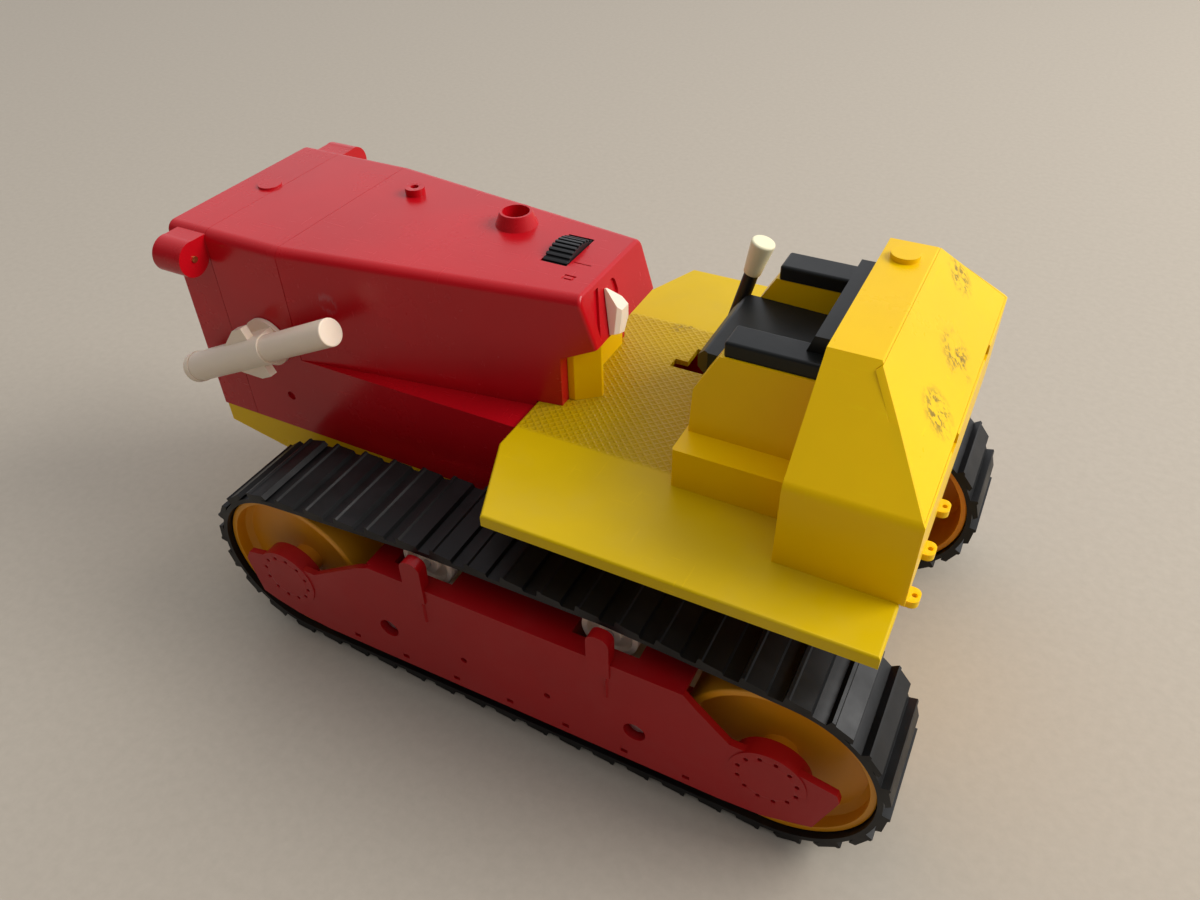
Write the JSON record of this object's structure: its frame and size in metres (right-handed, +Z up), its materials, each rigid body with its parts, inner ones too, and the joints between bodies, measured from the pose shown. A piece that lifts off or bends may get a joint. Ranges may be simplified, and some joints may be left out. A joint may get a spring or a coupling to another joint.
{
  "type": "toy bulldozer",
  "caption": "Battery toy crawler tractor with tapered hood, operator platform, seat, rear tank, ribbed track belts on wheels, lift cylinders and control levers.",
  "frame": {"origin": "on the ground, on the centre plane, under the middle of the length", "axes": "+Z up, +X towards the rear of the vehicle, -Y towards its left side; it drives towards -X"},
  "size_m": [0.2964, 0.1802, 0.1604],
  "materials": {
    "red_plastic": "gloss",
    "yellow_plastic": "satin",
    "orange_plastic": "satin",
    "belt_rubber": "satin",
    "grey_plastic": "satin",
    "black_plastic": "matte",
    "white_plastic": "satin",
    "cream_plastic": "satin",
    "clear_plastic": "gloss",
    "steel": "satin",
    "brass": "satin",
    "battery_wrap": "satin"
  },
  "bodies": {
    "chassis": {"chassis_pan": "yellow_plastic", "lower_body": "red_plastic", "radiator_cap": "red_plastic", "hood": "red_plastic", "lamp_lens_left": "clear_plastic", "lamp_lens_right": "clear_plastic", "lamp_contacts": "brass", "dash_bulkhead": "yellow_plastic", "platform": "yellow_plastic", "seat_pedestal": "yellow_plastic", "seat": "grey_plastic", "tank": "yellow_plastic", "side_frame_left": "red_plastic", "side_frame_right": "red_plastic", "frame_screws": "steel", "body_screws": "steel", "roller_pins": "steel", "axle_front": "steel", "belt_left": "belt_rubber", "belt_right": "belt_rubber", "drive_motor": "steel", "gear_plates": "steel", "lay_shaft": "steel", "battery": "battery_wrap", "battery_contacts": "brass", "floor_lever_pin": "steel", "thumbwheel_pin": "steel"},
    "rear_drive": {"wheel_rear_left": "orange_plastic", "wheel_rear_right": "orange_plastic", "axle_rear": "steel", "axle_gear": "white_plastic"},
    "front_wheel_left": {"wheel_front_left": "orange_plastic"},
    "front_wheel_right": {"wheel_front_right": "orange_plastic"},
    "carrier_front_left": {"roller_front_left": "white_plastic"},
    "carrier_front_right": {"roller_front_right": "white_plastic"},
    "carrier_rear_left": {"roller_rear_left": "white_plastic"},
    "carrier_rear_right": {"roller_rear_right": "white_plastic"},
    "lay_gears": {"lay_gear": "white_plastic"},
    "motor_rotor": {"motor_shaft": "steel", "motor_pinion": "brass"},
    "speed_wheel": {"thumbwheel": "black_plastic"},
    "gear_lever_body": {"gear_lever": "white_plastic"},
    "floor_lever": {"floor_lever_stem": "black_plastic", "floor_lever_knob": "cream_plastic"},
    "yoke_left": {"lift_yoke_left": "white_plastic"},
    "yoke_right": {"lift_yoke_right": "white_plastic"},
    "rod_left": {"lift_rod_left": "white_plastic"},
    "rod_right": {"lift_rod_right": "white_plastic"},
    "battery_hatch": {"battery_cover": "yellow_plastic"}
  },
  "joints": [
    {"name": "rear_drive_spin", "type": "hinge", "parent": "chassis", "child": "rear_drive", "pos_m": [0.11125, 0, 0.037], "axis": [0, 1, 0], "continuous": true},
    {"name": "front_wheel_left_spin", "type": "hinge", "parent": "chassis", "child": "front_wheel_left", "pos_m": [-0.07875, -0.0675, 0.037], "axis": [0, 1, 0], "continuous": true},
    {"name": "front_wheel_right_spin", "type": "hinge", "parent": "chassis", "child": "front_wheel_right", "pos_m": [-0.07875, 0.0675, 0.037], "axis": [0, 1, 0], "continuous": true},
    {"name": "carrier_front_left_spin", "type": "hinge", "parent": "chassis", "child": "carrier_front_left", "pos_m": [-0.01725, -0.06875, 0.0642], "axis": [0, 1, 0], "continuous": true},
    {"name": "carrier_front_right_spin", "type": "hinge", "parent": "chassis", "child": "carrier_front_right", "pos_m": [-0.01725, 0.06875, 0.0642], "axis": [0, 1, 0], "continuous": true},
    {"name": "carrier_rear_left_spin", "type": "hinge", "parent": "chassis", "child": "carrier_rear_left", "pos_m": [0.05275, -0.06875, 0.0642], "axis": [0, 1, 0], "continuous": true},
    {"name": "carrier_rear_right_spin", "type": "hinge", "parent": "chassis", "child": "carrier_rear_right", "pos_m": [0.05275, 0.06875, 0.0642], "axis": [0, 1, 0], "continuous": true},
    {"name": "lay_gear_spin", "type": "hinge", "parent": "chassis", "child": "lay_gears", "pos_m": [0.09593, 0.021, 0.04986], "axis": [0, 1, 0], "continuous": true},
    {"name": "motor_spin", "type": "hinge", "parent": "chassis", "child": "motor_rotor", "pos_m": [0.07774, 0.016, 0.06036], "axis": [0, 1, 0], "continuous": true},
    {"name": "speed_wheel_turn", "type": "hinge", "parent": "chassis", "child": "speed_wheel", "pos_m": [-0.0039, 0.0039, 0.1317], "axis": [1, 0, 0], "range_deg": [-135, 135]},
    {"name": "gear_lever_swing", "type": "hinge", "parent": "chassis", "child": "gear_lever_body", "pos_m": [0.01961, -0.009, 0.13085], "axis": [0.9492, 0, 0.3147], "range_deg": [0, 34]},
    {"name": "floor_lever_swing", "type": "hinge", "parent": "chassis", "child": "floor_lever", "pos_m": [0.04255, 0.022, 0.088], "axis": [0, 1, 0], "range_deg": [-26, 2]},
    {"name": "lift_yoke_left_tilt", "type": "hinge", "parent": "chassis", "child": "yoke_left", "pos_m": [-0.11075, -0.0492, 0.1055], "axis": [0, 1, 0], "range_deg": [-34, 46]},
    {"name": "lift_rod_left_slide", "type": "slide", "parent": "yoke_left", "child": "rod_left", "axis": [-0.8988, 0, -0.4384], "range_m": [0, 0.03]},
    {"name": "lift_yoke_right_tilt", "type": "hinge", "parent": "chassis", "child": "yoke_right", "pos_m": [-0.11075, 0.0492, 0.1055], "axis": [0, 1, 0], "range_deg": [-34, 46]},
    {"name": "lift_rod_right_slide", "type": "slide", "parent": "yoke_right", "child": "rod_right", "axis": [-0.8988, 0, -0.4384], "range_m": [0, 0.03]},
    {"name": "battery_hatch_lift", "type": "slide", "parent": "chassis", "child": "battery_hatch", "axis": [0.7698, 0, 0.6383], "range_m": [0, 0.03]}
  ],
  "couplings": [
    {"joint": "front_wheel_left_spin", "follows": "rear_drive_spin", "ratio": 1},
    {"joint": "front_wheel_right_spin", "follows": "rear_drive_spin", "ratio": 1},
    {"joint": "carrier_front_left_spin", "follows": "rear_drive_spin", "ratio": 3.1553},
    {"joint": "carrier_front_right_spin", "follows": "rear_drive_spin", "ratio": 3.1553},
    {"joint": "carrier_rear_left_spin", "follows": "rear_drive_spin", "ratio": 3.1553},
    {"joint": "carrier_rear_right_spin", "follows": "rear_drive_spin", "ratio": 3.1553},
    {"joint": "lay_gear_spin", "follows": "rear_drive_spin", "ratio": -1.8571},
    {"joint": "motor_spin", "follows": "rear_drive_spin", "ratio": 5.9429}
  ]
}
